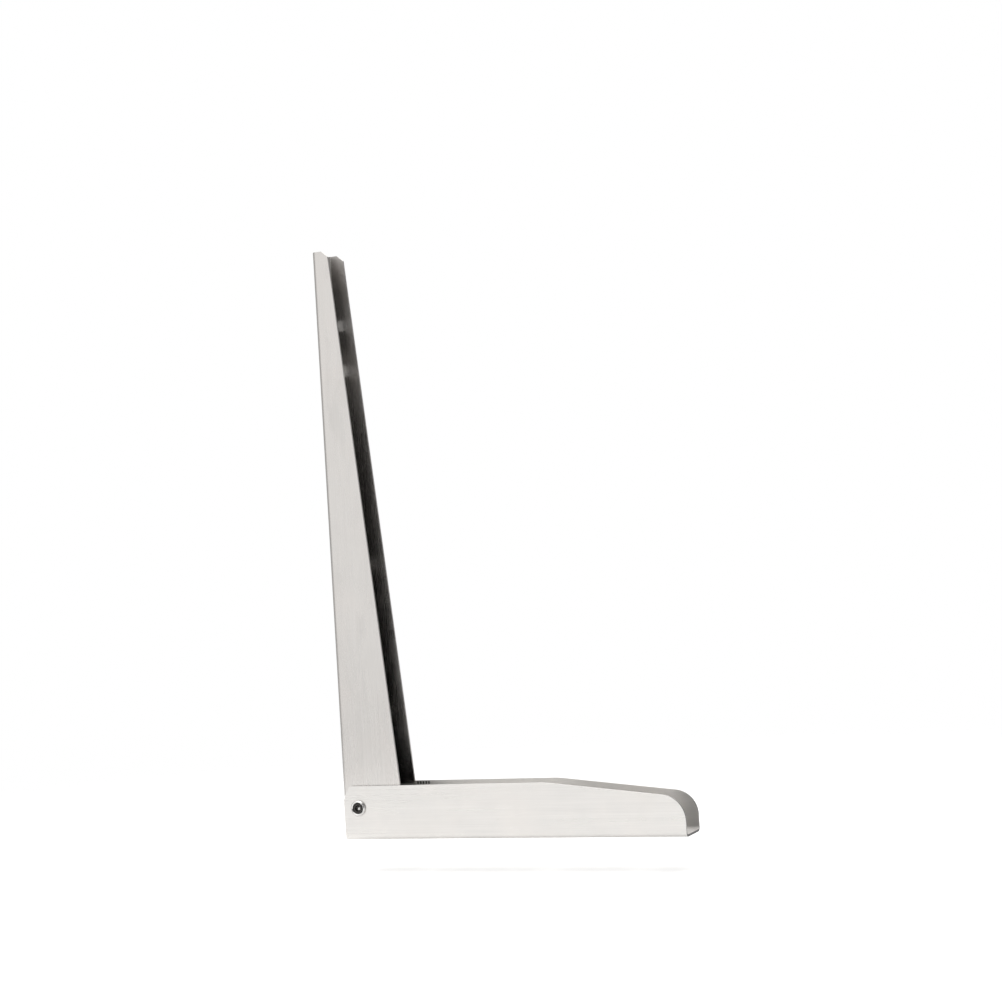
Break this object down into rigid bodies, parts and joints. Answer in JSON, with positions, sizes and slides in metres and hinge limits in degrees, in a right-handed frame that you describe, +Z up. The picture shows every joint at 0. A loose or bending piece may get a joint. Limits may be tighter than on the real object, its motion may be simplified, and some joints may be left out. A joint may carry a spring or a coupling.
{
  "type": "roof bracket",
  "caption": "Folding L-shaped support bracket of bent stainless sheet: tapered wall rail with a hinged channel arm that locks open.",
  "frame": {"origin": "on the wall plane, in the middle of the width, level with the pivot axis", "axes": "+X away from the wall along the open arm, +Y towards the flange with the pivot screw, +Z up along the wall rail"},
  "size_m": [0.3282, 0.0488, 0.545],
  "materials": {
    "rail_steel": "brushed along its length, slightly warm grey",
    "arm_steel": "brushed along its length, slightly warm grey",
    "bright_steel": "bright machined stainless",
    "dark_steel": "darkened set screw",
    "nylon": "natural nylon"
  },
  "bodies": {
    "rail": {"wall_rail": "rail_steel"},
    "arm": {"support_arm": "arm_steel", "pivot_axle": "bright_steel", "pivot_screw": "bright_steel", "pivot_washer": "bright_steel", "spacer_tube": "bright_steel", "thrust_washer_near": "nylon", "thrust_washer_far": "nylon", "lock_insert": "bright_steel"},
    "lock": {"lock_screw": "dark_steel"}
  },
  "joints": [
    {"name": "arm_fold", "type": "hinge", "parent": "rail", "child": "arm", "pos_m": [0.0425, 0, 0], "axis": [0, -1, 0], "range_deg": [0, 95]},
    {"name": "lock_screw_travel", "type": "slide", "parent": "arm", "child": "lock", "axis": [0, 1, 0], "range_m": [0, 0.0036]}
  ]
}
